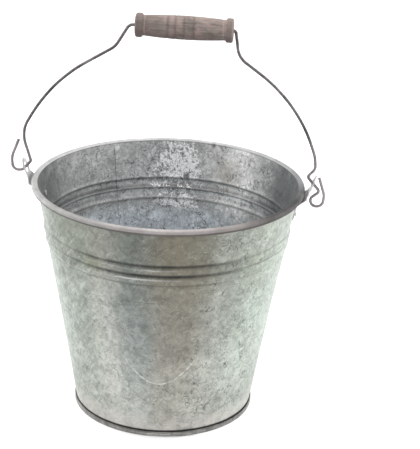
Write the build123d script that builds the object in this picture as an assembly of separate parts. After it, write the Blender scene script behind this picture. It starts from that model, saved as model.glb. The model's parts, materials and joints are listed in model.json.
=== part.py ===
"""Galvanised florist bucket: tapered sheet body, foot hoop, two ears, swinging wire bail, wooden grip.

Millimetres, +Z up. The origin is the centre of the circle that the foot hoop stands on.
The two ears lie on the X axis, and the bail swings about a line through their holes.
"""
from build123d import *
from math import atan2, cos, degrees, pi, radians, sin, tan
import os

os.makedirs("parts", exist_ok=True)

# ---- driving dimensions ----
SHEET = 0.8                      # thickness of the body and base sheet
HEIGHT = 233.1                   # ground to the top of the rolled rim
RIM_OUTER = 133.0                # radius to the outside of the rolled rim
CURL = 3.2                       # outer radius of the rim's roll
FLARE = 9.84                     # half angle of the wall's cone, degrees
WALL_BOTTOM = 0.6                # the wall's lower edge stands this far off the ground
CURL_END = -125.0                # angle at which the rolled edge stops, under the roll

BEAD_VALLEYS = (192.6, 182.2, 171.8)   # heights of the three pressed grooves
BEAD_LIFT = 1.3                  # how far the two beads between them stand out
VALLEY_DEPTH = 0.5               # how far the grooves are pressed in
BEAD_SHOULDER = 3.2              # from an end groove to the plain wall

SEAM_AZIMUTH = 121.0             # side seam, degrees from +X
SEAM_SPAN = 2.8                  # degrees of the wall that the folded seam takes up
SEAM_PROUD = 0.8                 # the fold stands this far inside the wall
SEAM_MARGIN = 4.0                # it stops this far from the base and from the roll's centre

BASE_LEVEL = 5.0                 # underside of the base sheet
BASE_STEP = 2.0                  # the middle of the base is pressed up by this
BASE_MARGIN = 14.0               # width of the flat ring outside the pressed-up middle
BASE_RAMP = 4.0                  # width of the slope between them
FIT = 0.06                       # gap between sheets that are clinched together

HOOP_HEIGHT = 4.6                # foot hoop: an angle strip under and outside the wall's foot
HOOP_OUTER = 89.7
HOOP_SHEET = 0.9                 # thickness of its upright leg
HOOP_SOLE = 0.5                  # thickness of the leg turned in under the wall
HOOP_SOLE_INNER = 86.2
HOOP_LAP_AZIMUTH = -75.5         # where its outer end stops
HOOP_LAP_SPAN = 11.0             # degrees that the lap runs on from there
HOOP_LAP_PROUD = 0.8
HOOP_LAP_INSET = 0.35            # the lap is this much narrower than the strip at both edges

HINGE_X = 140.2                  # centre of each ear's hole
HINGE_Z = 238.3
EAR_SHEET = 1.0
EAR_LEAN = 20.0                  # the ear's tongue leans out from the vertical
EAR_TONGUE = 8.6                 # radius of the tongue round its hole
EAR_HOLE = 5.2
EAR_NECK = 125.0                 # the tongue's round end stops at this angle from straight up
EAR_HALF_WIDTH = 15.0            # at the rim
EAR_SHOULDER_Z = 226.4           # where the tongue's flare reaches full width
EAR_WAIST_Z = 217.0              # where the plate starts to narrow to its foot
EAR_CORNER = 2.5                 # radius of the plate's corners
EAR_JOGGLE = 2.0                 # radius of its two bends, seen from the side
FOOT_HALF_WIDTH = 12.0           # at the bottom of the riveted foot
FOOT_LOW = 203.0
FOOT_HIGH = 219.0
RIVET_Y = 7.5
RIVET_Z = 209.5
RIVET_SHANK = 1.6
RIVET_HEAD = 3.4
RIVET_DOME = 1.5
RIVET_GAP = 0.15                 # thin gap under both heads
CLINCH_HEAD = 2.7                # radius of the flat head inside the wall
CLINCH_THICK = 0.9

WIRE = 1.5                       # radius of the bail wire
GRIP_MID = (11.2, 147.7)         # centre of the grip: along X, and above the hinge line
GRIP_TILT = 0.5                  # the grip's right-hand end is this many degrees lower
GRIP_LENGTH = 92.4
GRIP_RADIUS = 11.4               # at the middle of the barrel
GRIP_NECK = 9.7                  # where the barrel meets the end flanges
FLANGE_RADIUS = 11.6
FLANGE_LENGTH = 7.8
GRIP_BORE = WIRE + 0.08
GROOVE_STATIONS = (-15.0, -7.9, 0.3, 9.2)
GROOVE_DEPTH = 0.4
GROOVE_HALF = 0.6

# ---- derived dimensions ----
CURL_X = RIM_OUTER - CURL
CURL_Z = HEIGHT - CURL
SLOPE = tan(radians(FLARE))
SHEET_ACROSS = SHEET / cos(radians(FLARE))


def on_curl(radius, angle):
    """A point of a circle round the rim wire, in the radial plane."""
    return (CURL_X + radius * cos(radians(angle)), CURL_Z + radius * sin(radians(angle)))


TANGENT_ANGLE = 180.0 - FLARE
INNER_TOP = on_curl(CURL, TANGENT_ANGLE)
OUTER_TOP = on_curl(CURL - SHEET, TANGENT_ANGLE)


def inner_x(z):
    """Radius of the wall's inner face at height z, leaving the beads out."""
    return INNER_TOP[0] - (INNER_TOP[1] - z) * SLOPE


def outer_x(z):
    return inner_x(z) + SHEET_ACROSS


def wall_line(shift, low, end):
    """Edges of the wall's profile from height low to the point end, shift outside the inner face.

    The plain cone carries two beads that stand out between three pressed grooves."""
    def at(z, out=0.0):
        return (inner_x(z) + shift + out, z)

    above, centre, below = BEAD_VALLEYS
    start, stop = at(below - BEAD_SHOULDER), at(above + BEAD_SHOULDER)
    grooves = [at(z, -VALLEY_DEPTH) for z in (below, centre, above)]
    crowns = [at((below + centre) / 2, BEAD_LIFT), at((centre + above) / 2, BEAD_LIFT)]
    return [
        Line(at(low), start), Line(start, grooves[0]),
        ThreePointArc(grooves[0], crowns[0], grooves[1]),
        ThreePointArc(grooves[1], crowns[1], grooves[2]),
        Line(grooves[2], stop), Line(stop, end),
    ]


def spin(face, start=0.0, span=360.0):
    """Turn a face drawn in the XZ plane about Z, from the azimuth start."""
    solid = revolve(Plane.XZ * face, axis=Axis.Z, revolution_arc=span)
    return Rot(0, 0, start) * solid


def closed_face(edges):
    return make_face(Wire(edges))


def wall_face():
    inside = wall_line(0.0, WALL_BOTTOM, INNER_TOP)
    outside = wall_line(SHEET_ACROSS, WALL_BOTTOM, OUTER_TOP)
    turn = CURL_END - TANGENT_ANGLE
    centre = (CURL_X, CURL_Z)
    big = CenterArc(centre, CURL, TANGENT_ANGLE, turn)
    small = CenterArc(centre, CURL - SHEET, TANGENT_ANGLE, turn)
    lip = Line(on_curl(CURL, CURL_END), on_curl(CURL - SHEET, CURL_END))
    foot = Line((inner_x(WALL_BOTTOM), WALL_BOTTOM), (outer_x(WALL_BOTTOM), WALL_BOTTOM))
    return closed_face([*inside, big, lip, small, *outside, foot])


def seam_face():
    """Section of the folded side seam, which follows the wall's beads on the inside."""
    low, high = BASE_LEVEL + SEAM_MARGIN, CURL_Z - SEAM_MARGIN
    shifts = (-SEAM_PROUD, SHEET_ACROSS / 2)
    sides = [wall_line(shift, low, (inner_x(high) + shift, high)) for shift in shifts]
    caps = [Line(*[(inner_x(z) + shift, z) for shift in shifts]) for z in (low, high)]
    return closed_face([*sides[0], caps[1], *sides[1], caps[0]])


def make_body_wall():
    seam = spin(seam_face(), SEAM_AZIMUTH - SEAM_SPAN / 2, SEAM_SPAN)
    return spin(wall_face()) + seam


def make_rim_wire():
    section = Pos(CURL_X, CURL_Z) * Circle(CURL - SHEET - FIT)
    return spin(section)


def make_base_disc():
    """The base: a pressed-up middle, a flat margin and a flange turned down inside the wall."""
    low, level = WALL_BOTTOM, BASE_LEVEL
    edge_low = inner_x(low) - FIT
    edge_high = inner_x(level) - FIT
    step_out = edge_high - BASE_MARGIN
    step_in = step_out - BASE_RAMP
    raised = level + BASE_STEP
    outline = [
        (0, raised), (step_in, raised), (step_out, level), (edge_high - SHEET_ACROSS, level),
        (edge_low - SHEET_ACROSS, low), (edge_low, low),
        (edge_high + SLOPE * SHEET, level + SHEET), (step_out, level + SHEET),
        (step_in, raised + SHEET), (0, raised + SHEET),
    ]
    return spin(closed_face(Polyline(*outline, close=True).edges()))


def hoop_face():
    """Section of the foot hoop: a sole under the wall and an upright leg with a rounded top edge."""
    inner = HOOP_OUTER - HOOP_SHEET
    round_off = HOOP_SHEET * 0.45
    shoulder = HOOP_HEIGHT - round_off
    crown = ((inner + HOOP_OUTER) / 2, HOOP_HEIGHT)
    outline = [
        (inner, shoulder), (inner, HOOP_SOLE), (HOOP_SOLE_INNER, HOOP_SOLE), (HOOP_SOLE_INNER, 0),
        (HOOP_OUTER, 0), (HOOP_OUTER, shoulder),
    ]
    top = ThreePointArc(outline[-1], crown, outline[0])
    return closed_face([*Polyline(*outline).edges(), top])


def make_foot_hoop():
    """The strip's outer end laps over its start for a short way."""
    outside = HOOP_OUTER + HOOP_LAP_PROUD
    lap_width = HOOP_LAP_PROUD + HOOP_SHEET / 2
    lap_height = HOOP_HEIGHT - 2 * HOOP_LAP_INSET
    lap = Pos(outside - lap_width / 2, HOOP_HEIGHT / 2) * Rectangle(lap_width, lap_height)
    corners = lap.vertices().filter_by_position(Axis.X, outside - 0.01, outside + 0.01)
    lap = fillet(corners, HOOP_LAP_PROUD * 0.6)
    return spin(hoop_face()) + spin(lap, HOOP_LAP_AZIMUTH, HOOP_LAP_SPAN)


def ear_profile():
    """Side view of an ear: foot flat on the wall, a joggle past the rim, then the leaning tongue."""
    lean = tan(radians(EAR_LEAN))
    gap = FIT + EAR_SHEET / 2

    def tongue_x(z):
        return HINGE_X + (z - HINGE_Z) * lean

    points = [
        (outer_x(FOOT_LOW) + gap, FOOT_LOW), (outer_x(FOOT_HIGH) + gap, FOOT_HIGH),
        (tongue_x(EAR_SHOULDER_Z), EAR_SHOULDER_Z),
        (tongue_x(HINGE_Z + 1.5 * EAR_TONGUE), HINGE_Z + 1.5 * EAR_TONGUE),
    ]
    middle = FilletPolyline(*points, radius=EAR_JOGGLE)
    return trace(middle, EAR_SHEET)


def ear_outline():
    """Front view of an ear, in the YZ plane: a round tongue on flared shoulders and a narrower foot."""
    neck = radians(EAR_NECK)
    left = (-EAR_TONGUE * sin(neck), HINGE_Z + EAR_TONGUE * cos(neck))
    right = (-left[0], left[1])
    top = ThreePointArc(left, (0, HINGE_Z + EAR_TONGUE), right)
    side = [
        right, (EAR_HALF_WIDTH, EAR_SHOULDER_Z), (EAR_HALF_WIDTH, EAR_WAIST_Z),
        (FOOT_HALF_WIDTH, FOOT_LOW), (-FOOT_HALF_WIDTH, FOOT_LOW),
        (-EAR_HALF_WIDTH, EAR_WAIST_Z), (-EAR_HALF_WIDTH, EAR_SHOULDER_Z), left,
    ]
    face = closed_face([top, *Polyline(*side).edges()])
    corners = face.vertices().filter_by_position(Axis.Y, FOOT_LOW - 1, EAR_SHOULDER_Z + 0.1)
    return fillet(corners, EAR_CORNER)


def along_x(face, low, high):
    """Extrude a face drawn as (y, z) along +X, from low to high."""
    plane = Plane(origin=(low, 0, 0), x_dir=(0, 1, 0), z_dir=(1, 0, 0))
    return extrude(plane * face, amount=high - low)


def make_right_ear():
    span = 2.5 * degrees(EAR_HALF_WIDTH / HINGE_X)
    shell = spin(ear_profile(), -span / 2, span)
    plate = shell & along_x(ear_outline(), 100.0, 160.0)
    hole = along_x(Pos(0, HINGE_Z) * Circle(EAR_HOLE), 130.0, 150.0)
    plate -= hole
    for y in (-RIVET_Y, RIVET_Y):
        plate -= rivet_cylinder(y, RIVET_SHANK + FIT, -6.0, 6.0)
    return plate


def rivet_frame(y):
    """Plane at a rivet's place on the wall's outer face, its normal straight out of the cone."""
    azimuth = atan2(y, outer_x(RIVET_Z))
    flare = radians(FLARE)
    out = (cos(azimuth) * cos(flare), sin(azimuth) * cos(flare), -sin(flare))
    across = (-sin(azimuth), cos(azimuth), 0)
    place = (outer_x(RIVET_Z) * cos(azimuth), outer_x(RIVET_Z) * sin(azimuth), RIVET_Z)
    return Plane(origin=place, x_dir=across, z_dir=out)


def rivet_cylinder(y, radius, low, high):
    plane = rivet_frame(y).offset(low)
    return extrude(plane * Circle(radius), amount=high - low)


def make_rivet(y):
    """A shank through ear and wall, a low dome outside and a flat clinched head inside."""
    seat = FIT + EAR_SHEET + RIVET_GAP
    under = -SHEET - RIVET_GAP
    shank = rivet_cylinder(y, RIVET_SHANK, under, seat)
    inside = rivet_cylinder(y, CLINCH_HEAD, under - CLINCH_THICK, under)
    dome_radius = (RIVET_HEAD ** 2 + RIVET_DOME ** 2) / (2 * RIVET_DOME)
    ball = rivet_frame(y).offset(seat + RIVET_DOME - dome_radius) * Sphere(dome_radius)
    dome = ball & rivet_cylinder(y, RIVET_HEAD + 1, seat, seat + RIVET_DOME + 1)
    return shank + inside + dome


def make_right_rivets():
    return [make_rivet(y) for y in (-RIVET_Y, RIVET_Y)]


def to_left(shape):
    """Mirror a right-hand piece to the other side."""
    return mirror(shape, about=Plane.YZ)


def grip_axis():
    """Direction of the grip and of the wire inside it, in the bail's plane."""
    return (cos(radians(GRIP_TILT)), -sin(radians(GRIP_TILT)))


def grip_station(distance):
    ux, uz = grip_axis()
    return (GRIP_MID[0] + ux * distance, GRIP_MID[1] + uz * distance)


# Corners of the bail, each as (X, height above the hinge line, bend radius), from the grip
# down to the tip of the hook. A radius of None is as large as the two runs allow. The wire
# is bent by hand, so its two arms differ a little.
GRIP_END = GRIP_LENGTH / 2
LEFT_ARM = [
    (*grip_station(-GRIP_END - 5.8), 7.0), (-53.9, 126.0, 20.0), (-91.2, 103.2, None),
    (-110.0, 86.9, None), (-123.6, 70.8, None), (-133.9, 55.2, None), (-141.5, 41.3, None),
    (-142.1, 29.0, 30.0), (-135.2, 6.6, 3.2), (-143.6, -2.9, 3.2), (-152.9, -4.2, 6.0),
    (-154.4, 9.4, 20.0), (-147.2, 28.0, 0.0),
]
RIGHT_ARM = [
    (*grip_station(GRIP_END + 2.3), 2.8), (63.3, 121.9, 20.0), (96.7, 98.0, None),
    (116.6, 76.4, None), (131.1, 52.9, None), (140.7, 28.0, None), (141.9, 15.5, 8.0),
    (134.3, 7.2, 3.2), (147.2, -7.6, 3.0), (138.1, -14.9, 5.0), (140.0, -22.9, 5.4),
    (150.2, -22.9, 6.0), (151.9, -11.5, 16.0), (146.0, 6.6, 0.0),
]


def largest_bend(before, here, after):
    """Radius of an arc that takes up nearly half of the shorter of a corner's two runs."""
    first = Vector(*here) - Vector(*before)
    second = Vector(*after) - Vector(*here)
    turn = radians(first.get_angle(second))
    return 0.48 * min(first.length, second.length) / tan(turn / 2)


def make_bail_wire():
    corners = list(reversed(LEFT_ARM)) + RIGHT_ARM
    points = [(x, 0, HINGE_Z + z) for x, z, bend in corners]
    bends = []
    for index, (x, z, bend) in enumerate(corners[1:-1], 1):
        bends.append(bend or largest_bend(*points[index - 1:index + 2]))
    path = FilletPolyline(*points, radius=bends)
    section = Plane(origin=path @ 0, z_dir=path % 0) * Circle(WIRE)
    wire = sweep(section, path=path)
    wanted = pi * WIRE ** 2 * path.length
    print(f"bail wire length {path.length:.1f} mm, volume {wire.volume:.0f} of {wanted:.0f} mm3")
    return wire


def grip_end(side):
    """Outline of one rounded end flange; side is -1 for the left end. It ends where the barrel starts."""
    neck = GRIP_END - FLANGE_LENGTH
    edge = (GRIP_END, FLANGE_RADIUS - 2.2)
    crown = (GRIP_END - 2.4, FLANGE_RADIUS)
    fall = (neck + 0.9, FLANGE_RADIUS - 1.1)
    foot = (neck - 0.7, GRIP_NECK)
    turned = [
        [edge, (GRIP_END - 0.9, FLANGE_RADIUS - 0.7), crown],
        [crown, (GRIP_END - 5.0, FLANGE_RADIUS - 0.1), fall],
        [fall, (neck + 0.2, GRIP_NECK + 0.25), foot],
    ]
    arcs = [ThreePointArc(*[(side * x, y) for x, y in points]) for points in turned]
    face = Line((side * GRIP_END, GRIP_BORE), (side * GRIP_END, edge[1]))
    return [face, *arcs], (side * foot[0], foot[1])


def on_barrel(station, length, cut=0.0):
    """A point of the barrel's outline, cut in by that much. It swells from its necks to the middle."""
    return (station, GRIP_RADIUS - (GRIP_RADIUS - GRIP_NECK) * (station / length) ** 2 - cut)


def grip_face():
    """Half section of the turned grip: end flanges and a swelling barrel with fine grooves."""
    left, previous = grip_end(-1)
    right, last = grip_end(1)
    length = last[0]
    edges = []
    for station in [*GROOVE_STATIONS, None]:
        arrive = last if station is None else on_barrel(station - GROOVE_HALF, length)
        middle = on_barrel((previous[0] + arrive[0]) / 2, length)
        edges.append(ThreePointArc(previous, middle, arrive))
        if station is not None:
            leave = on_barrel(station + GROOVE_HALF, length)
            bottom = on_barrel(station, length, GROOVE_DEPTH)
            edges.append(ThreePointArc(arrive, bottom, leave))
            previous = leave
    bore = Line((-GRIP_END, GRIP_BORE), (GRIP_END, GRIP_BORE))
    return closed_face([*left, *edges, *right, bore])


def make_grip():
    turned = revolve(Plane.XZ * grip_face(), axis=Axis.X)
    return Pos(GRIP_MID[0], 0, HINGE_Z + GRIP_MID[1]) * Rot(0, GRIP_TILT, 0) * turned


def write(node, shape):
    """Save one node as a compound of its separate solids."""
    solids = []
    for piece in shape if isinstance(shape, list) else [shape]:
        solids.extend(piece.solids())
    export_step(Compound(children=solids, label=node), f"parts/{node}.step")
    print(node, len(solids), [round(s.volume) for s in solids])


def main():
    right_ear = make_right_ear()
    right_rivets = make_right_rivets()
    wall = make_body_wall()
    for y in (-RIVET_Y, RIVET_Y):
        bore = rivet_cylinder(y, RIVET_SHANK + FIT, -4.0, 4.0)
        wall = wall - bore - to_left(bore)
    write("body_wall", wall)
    write("rim_wire", make_rim_wire())
    write("base_disc", make_base_disc())
    write("foot_hoop", make_foot_hoop())
    write("right_ear", right_ear)
    write("left_ear", to_left(right_ear))
    write("right_ear_rivets", right_rivets)
    write("left_ear_rivets", [to_left(rivet) for rivet in right_rivets])
    write("bail_wire", make_bail_wire())
    write("grip", make_grip())


main()
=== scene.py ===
"""Looks of the galvanised florist bucket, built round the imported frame.

Metres, +Z up. The origin is the centre of the foot, the ears lie on the X axis and the camera looks along +Y.
Azimuths are in degrees from +X, so the front of the bucket is near -85.
"""
import json
import math

import bpy
from mathutils import Matrix, Vector, noise


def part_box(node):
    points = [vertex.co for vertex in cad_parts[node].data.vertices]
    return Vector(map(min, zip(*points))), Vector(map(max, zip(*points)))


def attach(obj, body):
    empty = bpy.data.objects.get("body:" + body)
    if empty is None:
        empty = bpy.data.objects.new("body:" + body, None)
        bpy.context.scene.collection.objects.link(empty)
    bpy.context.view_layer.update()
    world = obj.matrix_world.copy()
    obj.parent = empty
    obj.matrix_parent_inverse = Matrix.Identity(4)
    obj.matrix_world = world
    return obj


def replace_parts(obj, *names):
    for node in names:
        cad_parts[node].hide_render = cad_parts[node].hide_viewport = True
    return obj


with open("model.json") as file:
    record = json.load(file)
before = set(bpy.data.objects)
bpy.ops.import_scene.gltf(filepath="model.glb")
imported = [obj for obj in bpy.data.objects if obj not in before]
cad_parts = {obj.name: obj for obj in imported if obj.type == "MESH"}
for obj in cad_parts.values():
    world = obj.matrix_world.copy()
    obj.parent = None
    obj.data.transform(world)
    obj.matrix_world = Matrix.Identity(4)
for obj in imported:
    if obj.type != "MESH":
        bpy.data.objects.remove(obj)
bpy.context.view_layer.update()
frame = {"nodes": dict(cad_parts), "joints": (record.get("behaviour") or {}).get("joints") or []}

NODES = frame["nodes"]
JOINTS = {joint["name"]: joint for joint in frame["joints"]}

# ---- sizes of the body, as in the part ----
WALL_LOW, WALL_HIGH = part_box("body_wall")
RIM_TOP = WALL_HIGH.z
HOOP_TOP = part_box("foot_hoop")[1].z
BASE_LEVEL = 0.005
SHEET = 0.0008
FLARE = math.radians(9.84)               # half angle of the wall's cone
SLOPE = math.tan(FLARE)
ACROSS = SHEET / math.cos(FLARE)         # the sheet's thickness, measured level
CURL = 0.0032                            # outer radius of the rim's roll
CURL_R = WALL_HIGH.x - CURL              # centre of the roll, as radius and height
CURL_Z = RIM_TOP - CURL
TANGENT = 180.0 - math.degrees(FLARE)    # where the wall runs into the roll, in degrees round its centre
CURL_END = -125.0                        # where the rolled edge stops under it
VALLEYS = (0.1718, 0.1822, 0.1926)       # heights of the pressed grooves
BEADS = [(low + high) / 2 for low, high in zip(VALLEYS, VALLEYS[1:])]
VALLEY_DEPTH = 0.0005
SHOULDER = 0.0032                        # height over which the outer grooves fade into the plain wall
BEAD_LIFT = 0.0013
BEAD_FULLNESS = 0.8                      # below 1, it makes a bead fuller than a sine wave
SEAM_AZIMUTH = 121.0
SEAM_SPAN = 2.8
SEAM_PROUD = 0.0008
SEAM_EDGES = (SEAM_AZIMUTH - SEAM_SPAN / 2, SEAM_AZIMUTH + SEAM_SPAN / 2)
SEAM_EDGE_HALF = 0.07                    # half the width of an edge, in degrees
SEAM_FOOT = (BASE_LEVEL + 0.0035, BASE_LEVEL + 0.0045)     # heights between which the fold rises
SEAM_HEAD = (CURL_Z - 0.0040, CURL_Z - 0.0028)             # and between which it sinks again

# ---- unevenness of the sheet: (depth, rate round the wall, rate for each metre of height) ----
DENTS = ((0.0007, 2.6, 16.0), (0.00012, 9.0, 40.0))
DENTS_START = (0.012, 0.050)
DENTS_END = (0.190, 0.206)

# ---- the wall's rows and columns of points ----
FOOT_ROW = 0.003
PLAIN_START = 0.002                      # from the seam's foot to the first even row
PLAIN_ROWS = 44
SHOULDER_ROWS = 5
BEAD_ROWS = 14
NECK_ROWS = 14
NECK_END = CURL_Z - 0.0015
ROLL_WITHIN, ROLL_ROUND = 20, 44         # steps round the inside and the outside of the roll
WALL_COLUMNS = 352
SEAM_COLUMNS = (-0.18, -0.06, 0.06, 0.18)     # more of them, in degrees from each edge of the seam


def on_curl(radius, degrees):
    """Radius and height of a point at a distance and an angle from the roll's centre."""
    angle = math.radians(degrees)
    return CURL_R + radius * math.cos(angle), CURL_Z + radius * math.sin(angle)


TOP_R, TOP_Z = on_curl(CURL, TANGENT)


def smooth(value, start, stop):
    """From 0 at start to 1 at stop, smoothly. Stop may be less than start."""
    t = min(1.0, max(0.0, (value - start) / (stop - start)))
    return t * t * (3 - 2 * t)


# ---- meshes ----
def mesh_object(name, points, faces, materials, indices=None):
    mesh = bpy.data.meshes.new(name)
    mesh.from_pydata(points, [], faces)
    for material in materials:
        mesh.materials.append(material)
    if indices is not None:
        mesh.polygons.foreach_set("material_index", indices)
    mesh.polygons.foreach_set("use_smooth", [True] * len(mesh.polygons))
    mesh.update()
    piece = bpy.data.objects.new(name, mesh)
    bpy.context.scene.collection.objects.link(piece)
    return piece


def quads(around, count):
    """Corners between neighbouring loops of count points: (this, next, next, this), closed both ways."""
    for a in range(around):
        b = (a + 1) % around
        for i in range(count):
            j = (i + 1) % count
            yield a * count + i, b * count + i, b * count + j, a * count + j


def bead_shift(z):
    """How far the pressed beads and grooves move the wall out at height z."""
    below, centre, above = VALLEYS
    if z < below:
        return -VALLEY_DEPTH * smooth(z, below - SHOULDER, below)
    if z > above:
        return -VALLEY_DEPTH * smooth(z, above + SHOULDER, above)
    low, high = (below, centre) if z < centre else (centre, above)
    across = (z - low) / (high - low)
    return (BEAD_LIFT + VALLEY_DEPTH) * math.sin(math.pi * across) ** BEAD_FULLNESS - VALLEY_DEPTH


def inner_r(z):
    return TOP_R - (TOP_Z - z) * SLOPE + bead_shift(z)


def wall_heights():
    """Heights of the wall's rows of points, closer together over the beads."""
    below, centre, above = VALLEYS
    heights = [WALL_LOW.z, FOOT_ROW, *SEAM_FOOT, SEAM_FOOT[1] + PLAIN_START]
    for high, rows in ((below - SHOULDER, PLAIN_ROWS), (below, SHOULDER_ROWS), (centre, BEAD_ROWS),
                       (above, BEAD_ROWS), (above + SHOULDER, SHOULDER_ROWS), (SEAM_HEAD[0], NECK_ROWS)):
        low = heights[-1]
        heights += [low + (high - low) * i / rows for i in range(1, rows)] + [high]
    return heights + [SEAM_HEAD[1], NECK_END]


def wall_azimuths():
    """Even steps, with a few close together at the two edges of the folded seam."""
    turns = [360.0 * i / WALL_COLUMNS for i in range(WALL_COLUMNS)]
    return sorted(turns + [edge + off for edge in SEAM_EDGES for off in SEAM_COLUMNS])


def dent(azimuth, z):
    """Slow unevenness of the hand-worked sheet, which dies away at the foot and below the ears."""
    angle = math.radians(azimuth)
    depth = 0.0
    for most, rate, rise in DENTS:
        depth += most * noise.noise(Vector((math.cos(angle) * rate, math.sin(angle) * rate, z * rise)))
    return depth * smooth(z, *DENTS_START) * smooth(z, *reversed(DENTS_END))


def seam_height(azimuth, z):
    """The folded seam stands in from the wall between the base and the roll."""
    off = abs(azimuth - SEAM_AZIMUTH)
    beside = smooth(off, SEAM_SPAN / 2 + SEAM_EDGE_HALF, SEAM_SPAN / 2 - SEAM_EDGE_HALF)
    return SEAM_PROUD * beside * smooth(z, *SEAM_FOOT) * smooth(z, *reversed(SEAM_HEAD))


OUTSIDE, INSIDE = 0, 1


def build_wall(outside, inside):
    """The whole sheet: up the outside, round the roll and down the inside."""
    heights = wall_heights()
    azimuths = wall_azimuths()
    turn = CURL_END - TANGENT
    within = [(CURL - SHEET, TANGENT + turn * i / ROLL_WITHIN) for i in range(ROLL_WITHIN + 1)]
    round_it = [(CURL, CURL_END - turn * i / ROLL_ROUND) for i in range(ROLL_ROUND + 1)]
    rows = [("outer", z, OUTSIDE) for z in heights]
    rows += [("curl", place, OUTSIDE) for place in within]
    rows += [("curl", place, INSIDE) for place in round_it]
    rows += [("inner", z, INSIDE) for z in reversed(heights)]
    points = []
    for azimuth in azimuths:
        angle = math.radians(azimuth)
        for kind, where, _ in rows:
            if kind == "curl":
                radius, z = on_curl(*where)
            else:
                z = where
                radius = inner_r(z) + dent(azimuth, z)
                radius += ACROSS if kind == "outer" else -seam_height(azimuth, z)
            points.append((radius * math.cos(angle), radius * math.sin(angle), z))
    faces = list(quads(len(azimuths), len(rows)))
    indices = [side for _, _, side in rows[1:] + rows[:1]] * len(azimuths)
    wall = mesh_object("wall_shell", points, faces, [outside, inside], indices)
    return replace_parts(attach(wall, "bucket"), "body_wall")


# ---- the grip ----
GRIP_CENTRE = Vector(JOINTS["grip_spin"]["pos_m"])
GRIP_AXIS = Vector(JOINTS["grip_spin"]["axis"]).normalized()
GRIP_FALL = -GRIP_AXIS.z / GRIP_AXIS.x   # how far the grip drops for each metre towards +X
GRIP_HALF = 0.0462
GRIP_RADIUS = 0.0114
GRIP_NECK = 0.0097
GRIP_BORE = 0.00158
FLANGE_RADIUS = 0.0116
FLANGE_LENGTH = 0.0078
FLANGE_FLAT = 0.0056                     # from the end to where the flange starts to fall to the neck
FLANGE_EDGE = 0.0024                     # length and depth of its rounded edge
FLANGE_ROUNDING = 0.0022
GROOVES = (-0.0150, -0.0079, 0.0003, 0.0092)
GROOVE_DEPTH = 0.0004
GROOVE_HALF = 0.0006
GRIP_STEPS, GRIP_AROUND = 250, 160
GRIP_SKIN = 0.00005                      # how far the grain lies under the turned outline
GRAIN_RATES = (45, 5.5)                  # for each metre along the grip, and round it
FURROWS = ((0.00012, 1.0), (0.00006, 2.7))    # depth and fineness
CHECK_RATES = (22, 4)
CHECK_SHIFT = 7                          # takes the checks to another part of the noise
CHECK_DEPTH = 0.00035
CHECK_REACH = 0.035                      # a check is cut where the noise is this close to nothing
CHECK_ENDS = (0.043, 0.036)              # the checks die away between these distances from the middle


def grip_radius(station):
    """Radius of the turned outline at a distance along the grip from its middle."""
    inward = GRIP_HALF - abs(station)
    if inward < FLANGE_LENGTH:
        corner = 1 - min(1, inward / FLANGE_EDGE)
        rounding = FLANGE_ROUNDING * (1 - math.sqrt(max(0.0, 1 - corner ** 2)))
        fall = smooth(inward, FLANGE_FLAT, FLANGE_LENGTH)
        return FLANGE_RADIUS - rounding - fall * (FLANGE_RADIUS - GRIP_NECK)
    barrel = GRIP_RADIUS - (GRIP_RADIUS - GRIP_NECK) * (station / (GRIP_HALF - FLANGE_LENGTH)) ** 2
    for groove in GROOVES:
        across = abs(station - groove) / GROOVE_HALF
        if across < 1:
            barrel -= GROOVE_DEPTH * (1 - across * across)
    return barrel


def grain_depth(station, angle):
    """Depth of the shallow furrows that run along the wood, and of the few deeper checks."""
    def place(along, across, shift=0):
        return Vector((station * along + shift, math.cos(angle) * across, math.sin(angle) * across))

    furrow = sum(depth * noise.noise(place(*GRAIN_RATES) * fineness) for depth, fineness in FURROWS)
    check = smooth(abs(noise.noise(place(*CHECK_RATES, CHECK_SHIFT))), CHECK_REACH, 0.0)
    return GRIP_SKIN - min(furrow - CHECK_DEPTH * check * smooth(abs(station), *CHECK_ENDS), 0.0)


def build_grip(wood):
    """A lathe-turned barrel with open grain, round the wire's bore."""
    shares = [i / GRIP_STEPS for i in range(GRIP_STEPS + 1)]
    # halfway between even steps and steps that crowd towards the ends
    stations = [GRIP_HALF * (share - 0.5 - 0.5 * math.cos(math.pi * share)) for share in shares]
    side = GRIP_AXIS.cross(Vector((0, 1, 0))).normalized()
    other = GRIP_AXIS.cross(side)
    points = []
    for index in range(GRIP_AROUND):
        angle = 2 * math.pi * index / GRIP_AROUND
        out = side * math.cos(angle) + other * math.sin(angle)
        line = [(-GRIP_HALF, GRIP_BORE)]
        line += [(station, grip_radius(station) - grain_depth(station, angle)) for station in stations]
        line += [(GRIP_HALF, GRIP_BORE)]
        points += [GRIP_CENTRE + GRIP_AXIS * station + out * radius for station, radius in line]
    faces = [(ai, aj, bj, bi) for ai, bi, bj, aj in quads(GRIP_AROUND, len(stations) + 2)]
    grip = mesh_object("grip_barrel", points, faces, [wood])
    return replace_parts(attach(grip, "grip"), "grip")


# ---- materials ----
def rgba(colour):
    """A plain colour with its alpha. An output of a node stays as it is."""
    return (*colour, 1) if isinstance(colour, tuple) else colour


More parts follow.
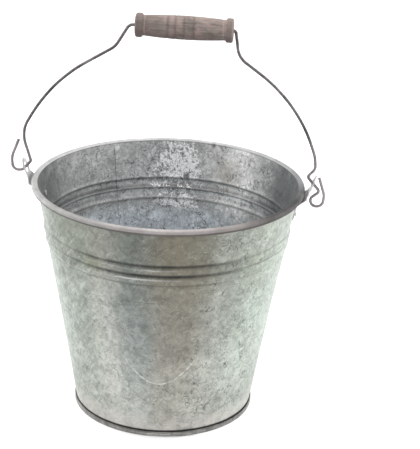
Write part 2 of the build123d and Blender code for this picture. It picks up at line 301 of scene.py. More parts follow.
class Graph:
    """The nodes of a new material or world: each method adds nodes and gives back an output."""

    def __init__(self, owner):
        owner.use_nodes = True
        self.owner = owner
        self.tree = owner.node_tree
        self.tree.nodes.clear()
        self.places = self.node("ShaderNodeTexCoord").outputs
        self.at = self.places["Object"]

    def put(self, socket, value):
        if isinstance(value, bpy.types.NodeSocket):
            self.tree.links.new(value, socket)
        elif value is not None:
            socket.default_value = value

    def node(self, kind, inputs=None, **settings):
        made = self.tree.nodes.new(kind)
        for name, value in settings.items():
            setattr(made, name, value)
        for name, value in (inputs or {}).items():
            self.put(made.inputs[name], value)
        return made

    def calc(self, operation, a, b=None):
        return self.node("ShaderNodeMath", {0: a, 1: b}, operation=operation).outputs[0]

    def times(self, first, *others):
        for other in others:
            first = self.calc("MULTIPLY", first, other)
        return first

    def plus(self, a, b):
        return self.calc("ADD", a, b)

    def minus(self, a, b):
        return self.calc("SUBTRACT", a, b)

    def most(self, first, *others):
        """The largest of the values."""
        for other in others:
            first = self.calc("MAXIMUM", first, other)
        return first

    def gap(self, value, centre):
        """How far value is from centre, either way."""
        return self.calc("ABSOLUTE", self.minus(value, centre))

    def sway(self, grain, width):
        """A shift to either side: width times how far the grain is above its middle value."""
        return self.times(self.minus(grain, 0.5), width)

    def length(self, a, b):
        return self.calc("SQRT", self.plus(self.times(a, a), self.times(b, b)))

    def rotated(self, a, b, angle):
        """Two coordinates in axes turned by an angle in radians."""
        cos, sin = math.cos(angle), math.sin(angle)
        return (self.plus(self.times(a, cos), self.times(b, sin)),
                self.minus(self.times(b, cos), self.times(a, sin)))

    def vector(self, operation, a, b):
        return self.node("ShaderNodeVectorMath", {0: a, 1: b}, operation=operation).outputs[0]

    def combine(self, x, y, z=0.0):
        return self.node("ShaderNodeCombineXYZ", {0: x, 1: y, 2: z}).outputs[0]

    def split(self, place):
        return self.node("ShaderNodeSeparateXYZ", {0: place}).outputs

    def mix(self, share, a, b, blend="MIX"):
        made = self.node("ShaderNodeMix", data_type="RGBA", blend_type=blend, clamp_factor=True)
        self.put(made.inputs["Factor"], share)
        self.put(made.inputs[6], rgba(a))     # 6, 7 and 2 are its sockets for colours
        self.put(made.inputs[7], rgba(b))
        return made.outputs[2]

    def cover(self, colour, paint, *shares):
        """Lay paint over the colour, as strongly as the product of the shares."""
        return self.mix(self.times(*shares), colour, paint)

    def rise(self, value, low, high, start=0.0, stop=1.0):
        """From start at low to stop at high, smoothly."""
        inputs = {0: value, 1: low, 2: high, 3: start, 4: stop}
        return self.node("ShaderNodeMapRange", inputs, interpolation_type="SMOOTHSTEP").outputs[0]

    def near(self, value, centre, width):
        """1 where value is at centre, falling to 0 at width from it."""
        return self.rise(self.gap(value, centre), 0.0, width, 1.0, 0.0)

    def near_any(self, value, centres, width):
        return self.most(*[self.near(value, centre, width) for centre in centres])

    def noise(self, place, scale, detail=3.0, roughness=0.55, distortion=0.0):
        inputs = {"Vector": place, "Scale": scale, "Detail": detail, "Roughness": roughness,
                  "Distortion": distortion}
        return self.node("ShaderNodeTexNoise", inputs).outputs["Fac"]

    def ramp(self, value, stops):
        """Colours between stops of (position, (red, green, blue))."""
        made = self.node("ShaderNodeValToRGB", {"Fac": value})
        elements = made.color_ramp.elements
        while len(elements) > 1:
            elements.remove(elements[-1])
        elements[0].position = stops[0][0]
        elements[0].color = rgba(stops[0][1])
        for position, colour in stops[1:]:
            elements.new(position).color = rgba(colour)
        return made.outputs["Color"]

    def mottle(self, colour, grain, dark, pale, share=1.0):
        """Multiply the colour by dark where the grain is low and by pale where it is high."""
        stops = [(at, (amount, amount, amount)) for at, amount in ((0.30, dark), (0.50, 1.0), (0.70, pale))]
        return self.mix(share, colour, self.ramp(grain, stops), "MULTIPLY")

    def bump(self, height, distance, strength):
        inputs = {"Height": height, "Distance": distance, "Strength": strength}
        return self.node("ShaderNodeBump", inputs).outputs["Normal"]

    def finish(self, **inputs):
        inputs = {name.replace("_", " "): value for name, value in inputs.items()}
        shader = self.node("ShaderNodeBsdfPrincipled", inputs)
        self.node("ShaderNodeOutputMaterial", {"Surface": shader.outputs[0]})
        return self.owner


class RoundGraph(Graph):
    """A material for the body, with places measured round it from the side seam."""

    MEAN_RADIUS = 0.11
    STROKE = 0.040       # half the width of a stroke, as a share of the noise's range

    def __init__(self, owner):
        super().__init__(owner)
        x, y, self.z = self.split(self.at)
        ahead, aside = self.rotated(x, y, math.radians(SEAM_AZIMUTH + 180))
        angle = self.calc("ARCTAN2", aside, ahead)
        self.azimuth = self.plus(self.calc("DEGREES", angle), SEAM_AZIMUTH - 180)
        self.round = self.times(angle, self.MEAN_RADIUS)
        self.radius = self.length(x, y)

    def bands(self, azimuth, stops):
        """Colours round the body between stops of (azimuth, (red, green, blue)); the first is at the seam."""
        share = self.calc("DIVIDE", self.minus(azimuth, stops[0][0]), 360.0)
        placed = [((stop - stops[0][0]) / 360.0, colour) for stop, colour in stops]
        return self.ramp(share, placed + [(1.0, stops[0][1])])

    def shifted(self, distance):
        """A place far enough away for a noise there to look unrelated."""
        return self.vector("ADD", self.at, (distance, 2 * distance, 0.5 * distance))

    def strokes(self, scale, away):
        """Short winding strokes: the places where a soft noise passes through its middle value."""
        return self.near(self.noise(self.shifted(away), scale, 1.5, 0.5, 1.2), 0.5, self.STROKE)

    def veins(self, scale, swirl=0.009):
        """Distance to the nearest of a net of winding veins, as a share of a cell."""
        inputs = {"Vector": self.at, "Scale": 140.0, "Detail": 3.0}
        push = self.node("ShaderNodeTexNoise", inputs).outputs["Color"]
        push = self.node("ShaderNodeVectorMath", {0: push, "Scale": swirl}, operation="SCALE").outputs[0]
        inputs = {"Vector": self.vector("ADD", self.at, push), "Scale": scale}
        return self.node("ShaderNodeTexVoronoi", inputs, feature="DISTANCE_TO_EDGE").outputs["Distance"]

    def streaks(self, lean, along, across):
        """Noise drawn out along a direction that leans by that many degrees from the vertical."""
        u, v = self.rotated(self.round, self.z, math.radians(lean))
        place = self.combine(self.times(u, 1 / across), self.times(v, 1 / along))
        return self.noise(place, 1.0, 4.0, 0.6, 0.3)


# ---- the outside of the wall ----
FRONT = -91.0                            # azimuth that the side shading is counted from
# Round the outside: the patina's own tone together with painted light and shade, paler where the side light
# falls and darker at the front
OUTSIDE_BANDS = [
    (-239, (0.27, 0.285, 0.265)), (-190, (0.27, 0.295, 0.27)), (-160, (0.30, 0.33, 0.30)),
    (-140, (0.245, 0.272, 0.243)), (-125, (0.245, 0.268, 0.238)), (-119, (0.34, 0.35, 0.32)),
    (-114, (0.33, 0.34, 0.315)), (-108, (0.235, 0.247, 0.232)), (-102, (0.175, 0.192, 0.182)),
    (-93, (0.165, 0.18, 0.172)), (-88, (0.175, 0.173, 0.155)), (-72, (0.185, 0.18, 0.158)),
    (-63, (0.255, 0.262, 0.236)), (-45, (0.295, 0.325, 0.288)), (-25, (0.36, 0.41, 0.36)),
    (-5, (0.32, 0.34, 0.32)), (40, (0.26, 0.275, 0.255)), (80, (0.21, 0.22, 0.208)),
    (100, (0.24, 0.25, 0.235)),
]
# Painted light and shade by height: lighter near the foot, darker near the rim
OUTSIDE_HEIGHTS = [                      # multipliers by height, as a share of the rim's
    (0.00, (1.95, 1.91, 1.90)), (0.21, (1.72, 1.70, 1.70)), (0.43, (1.17, 1.16, 1.16)),
    (0.58, (1.0, 1.0, 1.0)), (0.72, (0.95, 0.94, 0.92)), (0.80, (0.70, 0.69, 0.655)),
    (1.00, (0.66, 0.65, 0.61)),
]
# painted shade with some dirt in each groove
GROOVE_SHADE_AND_GRIME = ((0.50, 0.0016), (1.0, 0.0028), (0.95, 0.0022))     # strength and width in each valley
MOSS_AZIMUTH, MOSS_HEIGHT = -119.0, 0.186
SCORE_AZIMUTH, SCORE_HEIGHT = -94.0, 0.1523
SCUFF_AZIMUTH = -87.0
SCUFF_SPREAD = 18.0                      # degrees from its lowest point to each end
SCUFF_LOW = 0.0615                       # height of its lowest point, and how much higher its ends are
SCUFF_RISE = 0.0235


def outside_bands(g, turn):
    """Light and dark bands round the wall, partly the patina's tone and partly painted light and shade,
    painted light and shade by height, and a painted lit band above the beads from the right round the back.
    """
    bands = g.bands(turn, OUTSIDE_BANDS)
    bands = g.cover(bands, (0.210, 0.217, 0.200), g.rise(g.z, 0.11, 0.02, 0.0, 0.6))
    height = g.ramp(g.calc("DIVIDE", g.z, RIM_TOP), OUTSIDE_HEIGHTS)
    colour = g.mix(1.0, bands, height, "MULTIPLY")
    sides = g.rise(g.gap(g.azimuth, -92.0), 14.0, 38.0)
    colour = g.cover(colour, (0.12, 0.12, 0.115), sides, g.rise(g.z, 0.11, 0.04, 0.0, 0.25))
    # painted light: a paler band above the beads, from the right side round the back
    lit = g.rise(turn, -68.0, -56.0)
    return g.cover(colour, (0.33, 0.35, 0.315), lit, g.rise(g.z, 0.188, 0.198, 0.0, 0.45))


def outside_grain(g, colour, crystals, specks):
    """Soft clouds and crystals, then veins and strokes, slanting streaks on the left, and pits."""
    colour = g.mottle(colour, g.noise(g.at, 48.0, 5.0, 0.62, 0.4), 0.78, 1.24, 0.8)
    colour = g.mottle(colour, crystals, 0.70, 1.30, 0.75)
    right = g.most(g.rise(g.azimuth, -105.0, -60.0, 0.50, 1.0), g.rise(g.azimuth, -140.0, -175.0))
    net = g.rise(g.veins(165.0), 0.12, 0.01, 0.0, 0.38)
    patchy = g.rise(g.noise(g.at, 75.0, 4.0), 0.40, 0.60)
    colour = g.cover(colour, (0.085, 0.092, 0.08), net, right, patchy)
    patchy = g.rise(g.noise(g.shifted(2.5), 80.0, 3.0), 0.46, 0.58)
    colour = g.cover(colour, (0.06, 0.066, 0.056), g.strokes(120.0, 1.0), patchy, right, 0.85)
    patchy = g.rise(g.noise(g.shifted(9.0), 70.0, 3.0), 0.48, 0.62)
    colour = g.cover(colour, (0.42, 0.45, 0.40), g.strokes(140.0, 5.0), patchy, 0.38)
    slant = g.streaks(-38, 0.018, 0.0030)
    left = g.times(g.rise(g.azimuth, -98.0, -124.0, 0.06, 0.46), g.rise(g.z, 0.19, 0.22, 1.0, 0.55))
    colour = g.cover(colour, (0.46, 0.49, 0.455), g.rise(slant, 0.52, 0.70), left)
    colour = g.cover(colour, (0.13, 0.145, 0.125), g.rise(slant, 0.46, 0.30), left)
    colour = g.cover(colour, (0.07, 0.075, 0.065), g.rise(specks, 0.60, 0.74, 0.0, 0.6))
    pits = g.noise(g.shifted(3.0), 150.0, 3.0, 0.6, 0.6)
    colour = g.cover(colour, (0.075, 0.08, 0.068), g.rise(pits, 0.66, 0.74, 0.0, 0.62))
    flecks = g.noise(g.shifted(6.0), 520.0, 2.0, 0.6)
    return g.cover(colour, (0.42, 0.45, 0.40), g.rise(flecks, 0.64, 0.76, 0.0, 0.35))


def outside_stains_and_highlights(g, colour, turn, from_front):
    """A painted sheen at the sides, brown in front, green towards the left, a painted highlight along the
    bead crowns, moss by them, bloom at the foot.
    """
    # painted sheen: paler towards the sides, where the wall turns away from the front
    edges = g.times(g.rise(from_front, 50.0, 72.0, 0.0, 0.5), g.rise(from_front, 110.0, 85.0))
    colour = g.cover(colour, (0.29, 0.32, 0.29), edges)
    brown = g.times(g.near(turn, -79.0, 22.0), g.rise(g.z, 0.06, 0.20, 0.25, 0.7))
    uneven = g.rise(g.streaks(4, 0.05, 0.004), 0.35, 0.65, 0.4, 1.0)
    colour = g.cover(colour, (0.165, 0.145, 0.10), brown, uneven)
    green = g.times(g.near(turn, -128.0, 26.0), g.rise(g.z, 0.185, 0.215, 0.06, 0.32))
    colour = g.cover(colour, (0.21, 0.23, 0.18), green)
    # painted highlight along the crown of each bead, strongest in front
    crown_highlight = g.near_any(g.z, [bead + 0.0012 for bead in BEADS], 0.0016)
    uneven = g.rise(g.streaks(90, 0.030, 0.0022), 0.42, 0.62, 0.1, 0.8)
    colour = g.cover(colour, (0.50, 0.50, 0.49), crown_highlight, g.near(g.azimuth, -100.0, 30.0), uneven)
    moss = g.times(g.near(g.azimuth, MOSS_AZIMUTH, 9.0), g.near(g.z, MOSS_HEIGHT, 0.011))
    uneven = g.rise(g.noise(g.at, 190.0, 3.0), 0.42, 0.64, 0.05, 0.60)
    colour = g.cover(colour, (0.16, 0.19, 0.085), moss, uneven)
    uneven = g.rise(g.noise(g.at, 90.0, 4.0), 0.3, 0.65, 0.25, 0.8)
    return g.cover(colour, (0.58, 0.55, 0.52), g.rise(g.z, 0.03, 0.004), uneven)


def outside_grime_and_shade(g, colour, from_front):
    """Painted shade in the grooves, most in the middle one and at the front, with some dirt; a painted shadow
    under the roll; and painted shade in the gap along the top of the hoop.
    """
    # painted shadow under the roll and painted shade in the grooves
    grime_and_shade = g.near(g.z, CURL_Z - 0.0030, 0.0034)
    for valley, (strength, width) in zip(VALLEYS, GROOVE_SHADE_AND_GRIME):
        grime_and_shade = g.most(grime_and_shade, g.times(g.near(g.z, valley, width), strength))
    uneven = g.rise(g.noise(g.at, 45.0, 3.0), 0.3, 0.65, 0.55, 1.0)
    front = g.most(g.rise(from_front, 44.0, 14.0, 0.30, 1.0), g.rise(from_front, 80.0, 130.0, 0.0, 0.6))
    colour = g.cover(colour, (0.03, 0.03, 0.027), grime_and_shade, uneven, front)
    # painted shade in the gap along the top of the hoop
    hoop_crevice_shade = g.rise(g.z, HOOP_TOP + 0.0022, HOOP_TOP + 0.0010)
    return g.cover(colour, (0.015, 0.015, 0.014), hoop_crevice_shade, 0.92)


def outside_scuff(g, colour):
    """A scuff in the shape of a shallow U, and a faint scored line above it."""
    off = g.calc("DIVIDE", g.minus(g.azimuth, SCUFF_AZIMUTH), SCUFF_SPREAD)
    aside = g.calc("ABSOLUTE", off)
    bow = g.plus(g.times(off, off, SCUFF_RISE), SCUFF_LOW)
    gap = g.gap(g.plus(g.z, g.sway(g.noise(g.at, 60.0, 2.0), 0.004)), bow)
    width = g.rise(aside, 0.0, 1.0, 0.0007, 0.0011)
    arc = g.times(g.rise(g.calc("DIVIDE", gap, width), 0.0, 1.2, 1.0, 0.0), g.rise(aside, 1.12, 0.95))
    uneven = g.rise(g.noise(g.at, 240.0, 2.0), 0.38, 0.58, 0.15, 0.9)
    colour = g.cover(colour, (0.62, 0.61, 0.58), arc, uneven)
    line = g.times(g.near(g.z, SCORE_HEIGHT, 0.0007), g.near(g.azimuth, SCORE_AZIMUTH, 15.0))
    return g.cover(colour, (0.06, 0.065, 0.06), line, 0.45)


def zinc_outside():
    g = RoundGraph(bpy.data.materials.new("zinc_patina_outside"))
    drift = g.plus(g.sway(g.noise(g.at, 26.0, 3.0, 0.6), 10.0), g.sway(g.streaks(0, 0.12, 0.010), 9.0))
    turn = g.plus(g.azimuth, drift)
    from_front = g.gap(g.azimuth, FRONT)
    crystals = g.noise(g.shifted(4.0), 130.0, 4.0, 0.62, 1.1)
    specks = g.noise(g.at, 640.0, 2.0, 0.6)
    colour = outside_bands(g, turn)
    colour = outside_grain(g, colour, crystals, specks)
    colour = outside_stains_and_highlights(g, colour, turn, from_front)
    colour = outside_grime_and_shade(g, colour, from_front)
    colour = outside_scuff(g, colour)
    normal = g.bump(g.plus(g.times(crystals, 0.5), g.times(specks, 0.25)), 0.0010, 0.4)
    rough = g.rise(crystals, 0.35, 0.65, 0.60, 0.42)
    return g.finish(Base_Color=colour, Metallic=0.55, Roughness=rough, Normal=normal)


# ---- the inside of the wall and the rim ----
# Round the inside: painted light and shade, brightest at the back where the light falls and dark at the sides
INSIDE_BANDS = [
    (-239, (0.47, 0.475, 0.47)), (-215, (0.32, 0.325, 0.32)), (-190, (0.125, 0.13, 0.127)),
    (-150, (0.115, 0.12, 0.117)), (-100, (0.26, 0.27, 0.27)), (0, (0.115, 0.12, 0.12)),
    (30, (0.12, 0.125, 0.125)), (47, (0.42, 0.425, 0.415)), (58, (0.82, 0.82, 0.81)),
    (80, (0.56, 0.565, 0.56)), (104, (0.56, 0.565, 0.565)),
]
# Round the rim: painted light and shade, paler at the back, on the left and in front, and nearly black
# towards the right
RIM_BANDS = [
    (-239, (0.40, 0.395, 0.39)), (-175, (0.32, 0.32, 0.312)), (-140, (0.24, 0.238, 0.23)),
    (-115, (0.26, 0.250, 0.243)), (-90, (0.36, 0.332, 0.325)), (-60, (0.24, 0.218, 0.210)),
    (-38, (0.050, 0.047, 0.046)), (-15, (0.04, 0.039, 0.038)), (10, (0.18, 0.18, 0.18)),
    (60, (0.38, 0.375, 0.37)),
]
# The two brightest patches are painted highlights
SPANGLE_UPPER, SPANGLE_LOWER = 0.208, 0.1665     # heights of the two brightest patches, at the back
STAIN_AZIMUTH, STAIN_HEIGHT = 65.0, 0.203
SPOT_AZIMUTH = 74.0                      # a dark spot on the rim


def inside_bands(g, turn):
    """Painted light and shade in bands round the inside wall, bluer and more even below the beads."""
    dim = g.times(g.rise(turn, 82.0, 48.0), g.rise(turn, -160.0, -110.0))
    deep = g.mix(dim, (0.67, 0.725, 0.77), (0.36, 0.375, 0.385))
    return g.cover(g.bands(turn, INSIDE_BANDS), deep, g.rise(g.z, 0.172, 0.150), 0.85)


def inside_bead_light_and_shade(g, colour, turn):
    """Painted light and shade on the beads: the lower half of each is darkened and the upper half lightened,
    with a painted highlight along their crowns at the back.
    """
    pitch = VALLEYS[1] - VALLEYS[0]
    wave = g.calc("SINE", g.times(g.minus(g.z, VALLEYS[0]), 2 * math.pi / pitch))
    amount = g.rise(g.gap(g.azimuth, 90.0), 25.0, 60.0, -0.66, -0.80)
    # painted light and shade across each bead
    flank_light_and_shade = g.plus(g.times(wave, g.near(g.z, VALLEYS[1], 0.0125), amount), 1.0)
    colour = g.mix(1.0, colour, g.combine(flank_light_and_shade, flank_light_and_shade, flank_light_and_shade), "MULTIPLY")
    # painted highlight along the crowns
    crown_highlight = g.near_any(g.z, [bead + 0.0004 for bead in BEADS], 0.0042)
    return g.cover(colour, (0.86, 0.865, 0.86), crown_highlight, g.near(turn, 97.0, 42.0), 0.55)


def inside_grain(g, colour, specks):
    """Winding veins and strokes, and specks."""
    net = g.rise(g.veins(190.0, 0.008), 0.12, 0.01, 0.0, 0.36)
    patchy = g.rise(g.noise(g.at, 80.0, 4.0), 0.36, 0.58)
    colour = g.cover(colour, (0.10, 0.102, 0.104), net, patchy)
    patchy = g.rise(g.noise(g.shifted(2.5), 80.0, 3.0), 0.44, 0.58)
    colour = g.cover(colour, (0.075, 0.077, 0.08), g.strokes(120.0, 1.0), patchy, 0.75)
    return g.cover(colour, (0.09, 0.092, 0.095), g.rise(specks, 0.58, 0.72, 0.0, 0.6))


def inside_spangle_highlights(g, colour, turn, spangle):
    """Painted highlights on crystals at the back, with dull crystals and cracks among them."""
    highlight_patch = g.times(g.near(turn, 91.0, 25.0), g.rise(g.z, 0.155, 0.165, 0.15, 1.0))
    upper = g.times(g.near(turn, 87.0, 15.0), g.near(g.z, SPANGLE_UPPER, 0.022))
    lower = g.times(g.near(turn, 88.0, 17.0), g.near(g.z, SPANGLE_LOWER, 0.007))
    bright = g.minus(g.rise(highlight_patch, 0.0, 1.0, 0.70, 0.48), g.times(g.most(upper, lower), 0.13))
    # painted highlight: white on the crystals, strongest in the two patches
    colour = g.cover(colour, (0.98, 0.985, 0.99), g.rise(g.minus(spangle, bright), 0.015, 0.075))
    colour = g.cover(colour, (0.10, 0.10, 0.10), highlight_patch, g.rise(spangle, 0.47, 0.34, 0.0, 0.7))
    cracks = g.rise(g.veins(230.0, 0.008), 0.07, 0.01, 0.0, 0.6)
    return g.cover(colour, (0.13, 0.13, 0.13), cracks, highlight_patch)


def inside_stains(g, colour, clouds):
    """A brown stain at the back, darker lines along the grooves, and dirt along the seam."""
    brown = g.times(g.near(g.azimuth, STAIN_AZIMUTH, 12.0), g.near(g.z, STAIN_HEIGHT, 0.024))
    colour = g.cover(colour, (0.40, 0.355, 0.30), brown, g.rise(clouds, 0.4, 0.6, 0.3, 0.6))
    colour = g.cover(colour, (0.13, 0.13, 0.13), g.near_any(g.z, VALLEYS, 0.0024), 0.62)
    return g.cover(colour, (0.07, 0.07, 0.07), g.near_any(g.azimuth, SEAM_EDGES, 0.6), 0.22)


def rolled_rim(g, colour, specks):
    """The rolled rim, handled to a warm pinkish grey, with painted light and shade round it, a painted shadow
    on its underside and a painted shade line where it meets the wall's inside.
    """
    from_roll = g.minus(g.radius, CURL_R)
    above = g.minus(g.z, CURL_Z)
    inner = g.rise(from_roll, -0.0008, -0.0018)
    rim = g.rise(g.length(from_roll, above), 0.0042, 0.0033)
    rim = g.minus(rim, g.times(rim, inner, g.rise(above, 0.0018, 0.0008)))
    rim_colour = g.mottle(g.bands(g.azimuth, RIM_BANDS), g.noise(g.at, 60.0, 4.0, 0.6), 0.82, 1.18)
    rim_colour = g.cover(rim_colour, (0.12, 0.10, 0.095), g.rise(specks, 0.62, 0.76, 0.0, 0.3))
    # painted shadow on the underside of the roll
    under = g.times(g.rise(above, 0.0004, -0.0012), g.rise(from_roll, -0.0018, -0.0010))
    rim_colour = g.cover(rim_colour, (0.045, 0.038, 0.036), under, 0.82)
    colour = g.cover(colour, rim_colour, rim)
    # painted shade line where the roll meets the wall's inside
    colour = g.cover(colour, (0.06, 0.06, 0.058), g.near(above, 0.0009, 0.0009), inner, 0.6)
    spot = g.times(g.near(g.azimuth, SPOT_AZIMUTH, 1.6), g.near(g.z, CURL_Z, 0.004))
    return g.cover(colour, (0.05, 0.05, 0.05), spot, 0.8)


def zinc_inside():
    g = RoundGraph(bpy.data.materials.new("zinc_inside"))
    turn = g.plus(g.azimuth, g.sway(g.noise(g.at, 24.0, 3.0), 16.0))
    clouds = g.noise(g.at, 70.0, 5.0, 0.62, 0.5)
    crystals = g.noise(g.shifted(4.0), 150.0, 4.0, 0.62, 1.1)
    specks = g.noise(g.at, 560.0, 2.0, 0.6)
    spangle = g.noise(g.shifted(2.0), 230.0, 5.0, 0.70, 0.7)
    colour = inside_bands(g, turn)
    colour = g.mottle(colour, clouds, 0.80, 1.22)
    colour = g.mottle(colour, crystals, 0.70, 1.30)
    colour = inside_bead_light_and_shade(g, colour, turn)
    colour = inside_grain(g, colour, specks)
    colour = inside_spangle_highlights(g, colour, turn, spangle)
    colour = inside_stains(g, colour, clouds)
    colour = rolled_rim(g, colour, specks)
    normal = g.bump(g.plus(g.times(clouds, 0.4), g.times(crystals, 0.4)), 0.0010, 0.4)
    rough = g.rise(spangle, 0.35, 0.65, 0.66, 0.50)
    return g.finish(Base_Color=colour, Metallic=0.35, Roughness=rough, Specular_IOR_Level=0.2, Normal=normal)


# ---- the smaller pieces ----
def plain_zinc(g, dark, pale, speck=None, wear=None, metallic=0.6, roughness=(0.42, 0.6)):
    """Galvanised strip or plate with clouding, rubbing and painted shade where asked, specks and a fine
    tooth.
    """
    clouds = g.noise(g.at, 130.0, 5.0, 0.62, 0.4)
    colour = g.ramp(clouds, [(0.32, dark), (0.68, pale)])
    if wear:
        colour = wear(g, colour)
    specks = g.noise(g.at, 700.0, 2.0, 0.6)
    speck = speck or tuple(0.45 * amount for amount in dark)
    colour = g.cover(colour, speck, g.rise(specks, 0.58, 0.74, 0.0, 0.45))
    normal = g.bump(g.plus(clouds, g.times(specks, 0.4)), 0.0006, 0.3)
    rough = g.rise(clouds, 0.35, 0.65, roughness[1], roughness[0])
    return g.finish(Base_Color=colour, Metallic=metallic, Roughness=rough, Normal=normal)


def hoop_wear(g, colour):
    """The strip round the foot is rubbed bright in front and has painted shade along its top."""
    rubbed = g.rise(g.streaks(90, 0.020, 0.0016), 0.40, 0.60, 0.08, 0.48)
    colour = g.cover(colour, (0.62, 0.61, 0.58), g.near(g.azimuth, -84.0, 26.0), rubbed)
    # painted shade along the top of the strip
    return g.cover(colour, (0.07, 0.068, 0.064), g.rise(g.z, HOOP_TOP - 0.0022, HOOP_TOP - 0.0004), 0.45)


def weathered_wood():
    g = Graph(bpy.data.materials.new("weathered_wood"))
    x, y, z = g.split(g.at)
    along = g.combine(g.times(x, 75.0), g.times(y, 330.0), g.times(z, 330.0))
    grain = g.noise(along, 1.0, 5.0, 0.62, 0.6)
    rings = {"Vector": g.combine(g.times(x, 0.12), y, z), "Scale": 120.0, "Distortion": 6.0, "Detail": 3.0,
             "Detail Scale": 1.2}
    rings = g.node("ShaderNodeTexWave", rings, bands_direction="Z").outputs["Fac"]
    patches = g.noise(g.at, 90.0, 4.0, 0.6, 0.3)
    colour = g.ramp(grain, [
        (0.28, (0.100, 0.074, 0.064)), (0.45, (0.150, 0.118, 0.102)), (0.58, (0.190, 0.153, 0.134)),
        (0.75, (0.245, 0.203, 0.180)),
    ])
    colour = g.cover(colour, (0.28, 0.235, 0.215), g.rise(rings, 0.3, 0.9, 0.0, 0.25))
    colour = g.cover(colour, (0.265, 0.185, 0.168), g.rise(patches, 0.48, 0.64, 0.0, 0.7))
    colour = g.cover(colour, (0.110, 0.092, 0.078), g.rise(patches, 0.46, 0.34, 0.0, 0.6))
    # darker towards the left end, in the grooves and at the ends, with painted shade below, and paler beside
    # the flanges
    station = g.minus(x, GRIP_CENTRE.x)
    inward = g.minus(GRIP_HALF, g.calc("ABSOLUTE", station))
    above = g.minus(g.plus(z, g.times(station, GRIP_FALL)), GRIP_CENTRE.z)
    colour = g.cover(colour, (0.090, 0.066, 0.058), g.rise(station, -0.010, -0.036, 0.0, 0.45))
    colour = g.cover(colour, (0.085, 0.060, 0.056), g.near_any(station, GROOVES, 0.0026), 0.5)
    colour = g.cover(colour, (0.34, 0.275, 0.235), g.near(inward, FLANGE_LENGTH + 0.0014, 0.0014), 0.4)
    ends = g.rise(inward, FLANGE_LENGTH, FLANGE_LENGTH - 0.002, 0.0, 0.5)
    colour = g.cover(colour, (0.105, 0.076, 0.070), ends)
    # painted shade on the underside
    colour = g.cover(colour, (0.070, 0.050, 0.048), g.rise(above, 0.0, -0.009, 0.0, 0.55))
    pores = g.noise(g.vector("MULTIPLY", along, (2.5, 2.5, 2.5)), 1.0, 2.0)
    colour = g.cover(colour, (0.060, 0.044, 0.039), g.rise(pores, 0.58, 0.72, 0.0, 0.4))
    normal = g.bump(g.plus(grain, g.times(g.rise(pores, 0.60, 0.72), -0.5)), 0.0009, 0.5)
    rough = g.rise(grain, 0.3, 0.7, 0.82, 0.62)
    return g.finish(Base_Color=colour, Metallic=0.0, Roughness=rough, Normal=normal)


def bail_steel():
    """Dark drawn wire with scale, rubbed paler near the hooks."""
    g = Graph(bpy.data.materials.new("bail_steel"))
    film = g.noise(g.at, 55.0, 4.0, 0.6)
    colour = g.ramp(film, [
        (0.30, (0.060, 0.053, 0.056)), (0.50, (0.11, 0.10, 0.104)), (0.72, (0.21, 0.195, 0.197)),
    ])
    rubbed = g.rise(g.split(g.at)[2], RIM_TOP + 0.060, RIM_TOP + 0.010, 0.0, 0.55)
    colour = g.cover(colour, (0.33, 0.295, 0.30), rubbed)
    scale = g.noise(g.at, 420.0, 3.0, 0.6)
    colour = g.cover(colour, (0.34, 0.31, 0.30), g.rise(scale, 0.56, 0.70, 0.0, 0.55))
    colour = g.cover(colour, (0.05, 0.042, 0.04), g.rise(scale, 0.42, 0.30, 0.0, 0.5))
    rough = g.rise(film, 0.35, 0.65, 0.50, 0.34)
    return g.finish(Base_Color=colour, Metallic=0.7, Roughness=rough, Normal=g.bump(scale, 0.0005, 0.4))


def paint_node(name, material):
    """Give a CAD node's material slots a new material."""
    for slot in NODES[name].material_slots:
        slot.material = material


# ---- the stage ----
FLOOR_RINGS = (0.5, 2.0, 8.0, 30.0)      # the last is far outside every view
FLOOR_AROUND = 64
FLOOR_DROP = 0.0002                      # keeps it just under the foot


def pale_floor():
    g = Graph(bpy.data.materials.new("pale_floor"))
    colour = g.ramp(g.noise(g.at, 3.0, 3.0), [(0.3, (0.93, 0.93, 0.93)), (0.7, (0.97, 0.97, 0.97))])
    return g.finish(Base_Color=colour, Metallic=0.0, Roughness=0.9)


def build_floor():
    """A wide flat disc: a fan of triangles in the middle and rings of quads round it."""
    turns = [2 * math.pi * i / FLOOR_AROUND for i in range(FLOOR_AROUND)]
    points = [(0, 0, 0)]
    for radius in FLOOR_RINGS:
        points += [(radius * math.cos(turn), radius * math.sin(turn), 0) for turn in turns]
    neighbours = [(i, (i + 1) % FLOOR_AROUND) for i in range(FLOOR_AROUND)]
    faces = [(0, 1 + i, 1 + j) for i, j in neighbours]
    for ring in range(len(FLOOR_RINGS) - 1):
        a = 1 + ring * FLOOR_AROUND
        b = a + FLOOR_AROUND
        faces += [(a + i, b + i, b + j, a + j) for i, j in neighbours]
    floor = mesh_object("floor", points, faces, [pale_floor()])
    floor.location.z = -FLOOR_DROP


def soft_box(name, place, target, width, height, power):
    data = bpy.data.lights.new(name, "AREA")
    data.shape = "RECTANGLE"
    data.size = width
    data.size_y = height
    data.energy = power
    lamp = bpy.data.objects.new(name, data)
    lamp.location = place
    lamp.rotation_euler = (Vector(target) - Vector(place)).to_track_quat("-Z", "Y").to_euler()
    bpy.context.scene.collection.objects.link(lamp)


def build_world():
    """Bright all round, dimmer towards the camera's side, so that the metal has something to mirror."""
    world = bpy.data.worlds.new("studio")
    bpy.context.scene.world = world
    g = Graph(world)
    strength = g.rise(g.split(g.places["Generated"])[1], -0.95, -0.2, 0.45, 1.0)
    back = g.node("ShaderNodeBackground", {"Color": (0.98, 0.99, 1.0, 1), "Strength": strength})
    g.node("ShaderNodeOutputWorld", {"Surface": back.outputs[0]})


def build_lights():
    soft_box("left_box", (-1.6, 0.5, 0.9), (0, 0, 0.12), 1.2, 1.8, 30)
    soft_box("right_box", (1.6, 0.6, 0.8), (0, 0, 0.12), 1.2, 1.8, 34)
    soft_box("top_box", (0.0, -0.25, 2.0), (0, 0.05, 0.2), 1.4, 1.4, 26)


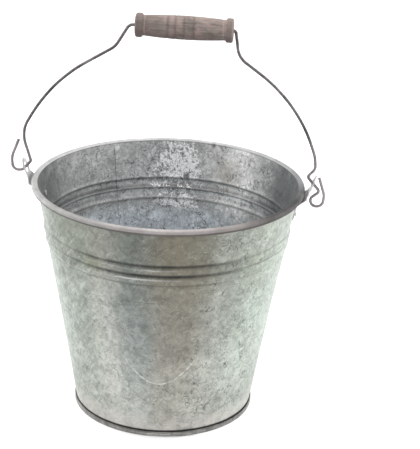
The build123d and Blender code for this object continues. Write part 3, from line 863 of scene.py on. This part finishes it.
# The camera stands 1.64 m from the centre of the foot and looks down at the bucket.
EYE = Vector((0.13938, -1.44752, 0.76251))
HEADING = -3.85                          # degrees from +Y towards +X
PITCH = -21.55
ROLL = 2.12
LENS = 127.4
SENSOR = 36.0
CLIP = (0.1, 60.0)


def build_camera():
    heading, pitch, roll = (math.radians(angle) for angle in (HEADING, PITCH, ROLL))
    level = math.cos(pitch)
    ahead = Vector((math.sin(heading) * level, math.cos(heading) * level, math.sin(pitch)))
    aside = Vector((math.cos(heading), -math.sin(heading), 0))
    upward = aside.cross(ahead)
    right = aside * math.cos(roll) + upward * math.sin(roll)
    up = upward * math.cos(roll) - aside * math.sin(roll)
    data = bpy.data.cameras.new("camera")
    data.lens = LENS
    data.sensor_width = SENSOR
    data.clip_start, data.clip_end = CLIP
    camera = bpy.data.objects.new("camera", data)
    turn = Matrix((right, up, -ahead)).transposed()
    camera.matrix_world = Matrix.Translation(EYE) @ turn.to_4x4()
    bpy.context.scene.collection.objects.link(camera)
    bpy.context.scene.camera = camera


def paint_small_pieces():
    def zinc(name, dark, pale, kind=Graph, **settings):
        return plain_zinc(kind(bpy.data.materials.new(name)), dark, pale, **settings)

    paint_node("rim_wire", zinc("rim_wire_steel", (0.20, 0.19, 0.18), (0.38, 0.36, 0.35)))
    paint_node("base_disc", zinc("zinc_base", (0.30, 0.32, 0.33), (0.52, 0.54, 0.55)))
    paint_node("foot_hoop", zinc("zinc_hoop", (0.15, 0.146, 0.138), (0.34, 0.333, 0.315), RoundGraph,
                                 speck=(0.08, 0.078, 0.072), wear=hoop_wear))
    ear = zinc("zinc_ear", (0.32, 0.31, 0.312), (0.52, 0.508, 0.51), metallic=0.40, roughness=(0.36, 0.5))
    rivet = zinc("zinc_rivet", (0.26, 0.26, 0.25), (0.44, 0.435, 0.42))
    for side in ("left", "right"):
        paint_node(side + "_ear", ear)
        paint_node(side + "_ear_rivets", rivet)
    paint_node("bail_wire", bail_steel())


def build():
    build_camera()
    build_wall(zinc_outside(), zinc_inside())
    build_grip(weathered_wood())
    paint_small_pieces()
    build_floor()
    build_world()
    build_lights()
    bpy.context.scene.view_settings.view_transform = "Standard"


build()
bpy.context.view_layer.update()
